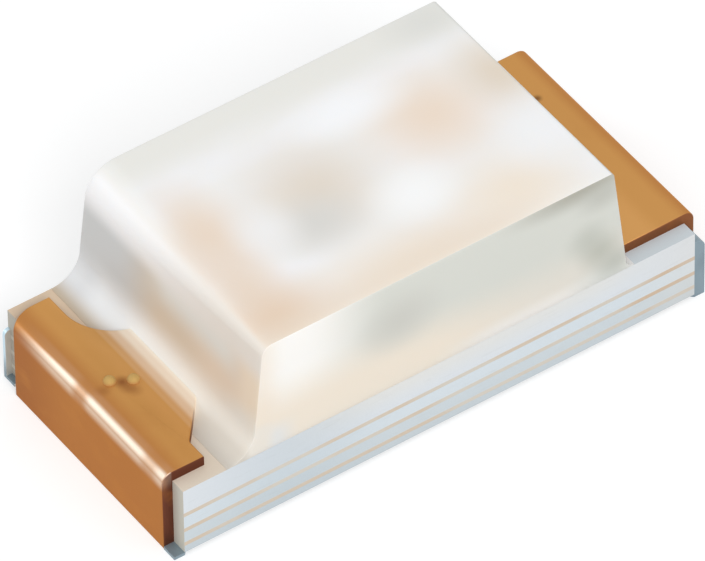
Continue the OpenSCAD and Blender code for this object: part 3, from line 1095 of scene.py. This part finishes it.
@dataclass
class Studio:
    """Plain soft light, a pale floor and the camera.

    Attributes:
        eye: The camera's place, in millimetres.
        angles: Its azimuth, elevation and roll, in degrees.
        focal: Its focal length, in image widths.
        ambient: Strength of the even light.
        lamps: The lamps, as arguments of lamp().
        distance: Their distance from the part, in millimetres.
        floor_reach: How far the floor goes each way, in millimetres.
        floor_shade: How pale it is.
        floor_glow: Light added where the camera sees it, so that it shows white outside the shadow.
    """

    eye: Triple = (-25.417386, -37.368162, 45.257931)
    angles: Triple = (-34.2248, 44.7878, -0.9134)
    focal: float = 12360.0 / 705.0
    ambient: float = 0.66
    lamps: tuple[tuple[str, Triple, float, float], ...] = (
        ("key", (-0.25, -0.72, 0.66), 0.49, 34.0),
        ("edge", (-0.70, 0.60, 0.40), 0.10, 24.0),
    )
    distance: float = 70.0
    floor_reach: float = 400.0
    floor_shade: float = 0.62
    floor_glow: float = 0.46

    def lamp(self, name: str, way: Triple, share: float, size: float) -> None:
        """Adds a square soft lamp that looks at the part.

        Args:
            name: Its name.
            way: The way from the part to it.
            share: The light that it gives to a white face square to it.
            size: Its side, in millimetres.
        """
        data = bpy.data.lights.new(name, "AREA")
        data.size, data.energy = size * MM, share * math.pi**2 * (self.distance * MM) ** 2
        lamp = bpy.data.objects.new(name, data)
        to_lamp = Vector(way).normalized()
        lamp.location = to_lamp * self.distance * MM
        lamp.rotation_euler = to_lamp.to_track_quat("Z", "Y").to_euler()
        bpy.context.scene.collection.objects.link(lamp)

    def seen(self, tree: bpy.types.NodeTree) -> bpy.types.NodeSocket:
        """1 for camera, glossy and transmission rays, and 0 for others."""
        path = tree.nodes.new("ShaderNodeLightPath")
        first, second = (tree.nodes.new("ShaderNodeMath") for _ in range(2))
        first.operation = second.operation = "MAXIMUM"
        tree.links.new(path.outputs["Is Camera Ray"], first.inputs[0])
        tree.links.new(path.outputs["Is Glossy Ray"], first.inputs[1])
        tree.links.new(first.outputs[0], second.inputs[0])
        tree.links.new(path.outputs["Is Transmission Ray"], second.inputs[1])
        return second.outputs[0]

    def world(self) -> None:
        """Even light all round, and a white background."""
        world = bpy.data.worlds.new("studio")
        world.use_nodes = True
        tree = world.node_tree
        lit, white = tree.nodes["Background"], tree.nodes.new("ShaderNodeBackground")
        lit.inputs[0].default_value, lit.inputs[1].default_value = (0.98, 0.99, 1.0, 1.0), self.ambient
        white.inputs[0].default_value, white.inputs[1].default_value = (1.0, 1.0, 1.0, 1.0), 1.0
        mix = tree.nodes.new("ShaderNodeMixShader")
        tree.links.new(self.seen(tree), mix.inputs[0])
        tree.links.new(lit.outputs[0], mix.inputs[1])
        tree.links.new(white.outputs[0], mix.inputs[2])
        tree.links.new(mix.outputs[0], tree.nodes["World Output"].inputs[0])
        bpy.context.scene.world = world

    def floor(self) -> None:
        """A pale floor that shows white and keeps the part's shadow."""
        mesh = bpy.data.meshes.new("floor")
        corners = np.array([[-1, -1, 0], [1, -1, 0], [1, 1, 0], [-1, 1, 0]]) * self.floor_reach * MM
        mesh.from_pydata(corners.tolist(), [], [[0, 1, 2, 3]])
        material = bpy.data.materials.new("floor")
        material.use_nodes = True
        tree = material.node_tree
        dull = tree.nodes["Principled BSDF"]
        dull.inputs["Base Color"].default_value = (*[self.floor_shade] * 3, 1.0)
        dull.inputs["Roughness"].default_value, dull.inputs["Specular IOR Level"].default_value = 1.0, 0.0
        kinds = ("Emission", "AddShader", "MixShader")
        glow, both, pick = (tree.nodes.new("ShaderNode" + kind) for kind in kinds)
        glow.inputs["Strength"].default_value = self.floor_glow
        tree.links.new(dull.outputs[0], both.inputs[0])
        tree.links.new(glow.outputs[0], both.inputs[1])
        tree.links.new(self.seen(tree), pick.inputs[0])
        tree.links.new(dull.outputs[0], pick.inputs[1])
        tree.links.new(both.outputs[0], pick.inputs[2])
        tree.links.new(pick.outputs[0], tree.nodes["Material Output"].inputs[0])
        mesh.materials.append(material)
        floor = bpy.data.objects.new("floor", mesh)
        bpy.context.scene.collection.objects.link(floor)

    def camera(self) -> None:
        """The camera, at the angle from which the part was drawn."""
        data = bpy.data.cameras.new("camera")
        data.sensor_width, data.lens = 36.0, 36.0 * self.focal
        data.clip_start, data.clip_end = 0.5 * MM, 2.0
        azimuth, elevation, roll = np.radians(self.angles)
        level = np.array([np.sin(azimuth), -np.cos(azimuth), 0.0])
        back = np.cos(elevation) * level + [0.0, 0.0, np.sin(elevation)]
        right = np.array([np.cos(azimuth), np.sin(azimuth), 0.0])
        up = np.cross(back, right)
        across, above = np.cos(roll) * right + np.sin(roll) * up, np.cos(roll) * up - np.sin(roll) * right
        camera = bpy.data.objects.new("camera", data)
        turned = Matrix(np.stack([across, above, back], axis=1).tolist()).to_4x4()
        camera.matrix_world = Matrix.Translation(Vector(self.eye) * MM) @ turned
        bpy.context.scene.collection.objects.link(camera)
        bpy.context.scene.camera = camera

    def build(self) -> None:
        """Sets the studio up."""
        bpy.context.scene.view_settings.view_transform = "Standard"
        self.world()
        self.floor()
        for lamp in self.lamps:
            self.lamp(*lamp)
        self.camera()
        LOG.info("studio: %d lamps", len(self.lamps))


@dataclass
class ChipLed:
    """The whole part.

    Attributes:
        nodes: The CAD nodes by name.
    """

    nodes: dict[str, bpy.types.Object]

    def cathode_foil(self) -> Terminal:
        """The cathode's foil: a band, a flare and a straight sweep into the neck, and the chip's land."""
        half, inner = 0.704, 1.404
        neck_far, neck_near = 0.26, 0.28
        land = [[0.33, 0.29], [-0.25, 0.29]]
        flare_r, flare_top = 0.3, 0.56
        flare = arc((inner - flare_r, flare_top), flare_r, 0, -90, 20)
        far = np.concatenate([[[1.52, half], [inner, half]], flare, [[0.36, neck_far]], land])
        nick_r, nick_top, sweep = 0.03, 0.572, 0.25
        lean = math.degrees(math.atan((nick_top - neck_near) / sweep))
        nick_y = nick_top + nick_r * math.tan(math.radians(45 - lean / 2))
        nick = arc((inner - nick_r, nick_y), nick_r, 0, lean - 90, 8)
        neck = [[inner - sweep, neck_near], [0.34, neck_near]]
        near = np.concatenate([[[1.6, half], [inner, half]], nick, neck, land])
        finish = CopperFinish("copper_cathode", highlighted=True, milky=True, painted_shadows=PAINTED_DOT_SHADOWS)
        return Terminal("cathode_terminal", finish, -1, far, near * [1, -1], 0.654)

    def anode_foil(self) -> Terminal:
        """The anode's foil: a band out to the board's far edge, a flare on either side and the finger."""
        half_near, half_far, inner = 0.704, 0.792, 1.15
        flare_r, neck = 0.12, 0.18
        flare = arc((inner - flare_r, neck + flare_r), flare_r, 0, -90, 12)
        finger = [[0.47, neck]]
        near = np.concatenate([[[1.6, half_near], [inner, half_near]], flare, finger])
        far = np.concatenate([[[1.52, half_far], [inner, half_far]], flare, finger])
        finish = CopperFinish("copper_anode", speck=(1.485, 0.44), bend_shade_from=(1.55, 1.65),
                              cut=from_screen(134, 84, 56))
        return Terminal("anode_terminal", finish, 1, far, near * [1, -1], half_far)

    def build(self) -> None:
        """Builds the pieces and gives the CAD nodes their materials."""
        Board().build(self.nodes)
        self.cathode_foil().build()
        self.anode_foil().build()
        Dots(DotFinish()).build()
        Lens(MilkFinish("lens_resin", TOP_LIGHT_PATCHES, SIDE_LIGHT_PATCHES)).build()
        for names, finish in NODE_FINISHES:
            material = finish.build()
            for name in names:
                dress(self.nodes[name], material)
            LOG.info("%s: %s", finish.name, ", ".join(names))


# Painted shadows of the polarity dots on the cathode's copper, as x, y and strength.
PAINTED_DOT_SHADOWS = ((-1.446, -0.025, 0.85), (-1.445, -0.074, 0.5), (-1.424, -0.111, 0.35), (-1.559, -0.020, 0.4))
# Painted reflections, highlights and shade on the lens's top, as soft patches.
TOP_LIGHT_PATCHES = (
    LightPatch((0.58, 0.10, 1.18), (0.56, 0.52, 0.5), from_screen(237, 219, 201), 0.95),
    LightPatch((-0.22, 0.00, 1.18), (0.56, 0.54, 0.5), from_screen(226, 216, 203), 0.95),
    LightPatch((-0.36, -0.21, 1.18), (0.38, 0.30, 0.5), from_screen(214, 213, 209), 0.8),
    LightPatch((-0.86, 0.03, 1.18), (0.34, 0.58, 0.5), from_screen(234, 215, 196), 0.95),
    LightPatch((-0.92, -0.32, 1.18), (0.30, 0.60, 0.5), from_screen(234, 218, 202), 0.95),
    LightPatch((-0.08, -0.70, 1.18), (1.20, 0.36, 0.5), from_screen(238, 225, 209), 0.95),
    LightPatch((-0.90, -0.67, 1.18), (0.46, 0.42, 0.5), from_screen(230, 207, 184), 1.0),
    LightPatch((-0.60, -0.10, 1.18), (0.26, 0.30, 0.5), from_screen(241, 240, 239), 0.85),
    LightPatch((0.61, -0.58, 1.18), (0.54, 0.40, 0.5), from_screen(241, 229, 213), 0.95),
    LightPatch((1.04, 0.17, 1.18), (0.32, 0.42, 0.5), from_screen(226, 213, 196), 0.95),
    LightPatch((0.96, 0.70, 1.18), (0.40, 0.24, 0.5), from_screen(221, 221, 216), 0.8),
    LightPatch((0.24, 0.39, 1.18), (0.50, 0.24, 0.5), from_screen(249, 250, 252), 0.9),
    LightPatch((0.18, -0.32, 1.18), (0.34, 0.30, 0.5), from_screen(250, 250, 249), 0.9),
    LightPatch((0.98, -0.32, 1.18), (0.40, 0.40, 0.5), from_screen(244, 245, 247), 0.7),
)
# Painted reflections and shade on the lens's -Y side, as soft patches.
SIDE_LIGHT_PATCHES = (
    LightPatch((-0.25, -0.8, 0.90), (0.34, 0.5, 0.26), from_screen(205, 204, 196), 0.9),
    LightPatch((0.90, -0.8, 1.18), (0.60, 0.5, 0.15), from_screen(172, 170, 158), 0.95),
    LightPatch((1.02, -0.8, 1.06), (0.22, 0.5, 0.14), from_screen(190, 190, 181), 0.75),
    LightPatch((1.06, -0.8, 0.50), (0.34, 0.5, 0.20), from_screen(214, 217, 211), 0.85),
    LightPatch((0.92, -0.8, 0.80), (0.18, 0.5, 0.17), from_screen(192, 194, 184), 0.75),
    LightPatch((1.00, -0.8, 0.68), (0.19, 0.5, 0.17), from_screen(184, 186, 175), 0.8),
    LightPatch((1.09, -0.8, 0.56), (0.18, 0.5, 0.15), from_screen(186, 188, 178), 0.75),
)
NODE_FINISHES = (
    (("cathode_solder_pad",), TinFinish("tin_cathode", True)),
    (("anode_solder_pad",), TinFinish("tin_anode")),
    (("solder_mask",),
     PlainFinish("solder_mask", from_screen(214, 222, 212), from_screen(202, 212, 202), 5.0)),
    (("polarity_arrow",),
     PlainFinish("arrow_ink", from_screen(52, 116, 84), from_screen(44, 102, 72), 9.0)),
    (("chip_paste",),
     PlainFinish("silver_paste", from_screen(176, 176, 180), from_screen(158, 158, 164), 30.0, 0.7, 0.5)),
    (("chip_base",),
     PlainFinish("chip_base", from_screen(96, 102, 112), from_screen(84, 90, 100), 20.0, 0.1, 0.35)),
    (("chip_light_layer",),
     PlainFinish("chip_layer", from_screen(206, 210, 160), from_screen(198, 200, 148), 20.0, 0.0, 0.25)),
    (("chip_contact", "bond_wire"),
     PlainFinish("gold", from_screen(232, 196, 112), from_screen(222, 184, 98), 20.0, 0.9, 0.28)),
)


def main() -> None:
    """Builds the part and the studio in order."""
    logging.basicConfig(level=logging.INFO, format="%(name)s: %(message)s")
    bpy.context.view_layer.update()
    ChipLed(FRAME["nodes"]).build()
    Studio().build()


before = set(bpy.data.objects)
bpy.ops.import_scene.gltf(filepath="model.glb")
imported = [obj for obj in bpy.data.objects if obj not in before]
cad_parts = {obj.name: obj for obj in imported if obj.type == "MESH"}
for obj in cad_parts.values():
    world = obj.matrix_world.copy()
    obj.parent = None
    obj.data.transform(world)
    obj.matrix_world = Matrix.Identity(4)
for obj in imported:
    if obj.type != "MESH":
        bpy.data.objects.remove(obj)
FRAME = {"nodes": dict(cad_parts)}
if __name__ == "__main__":
    main()
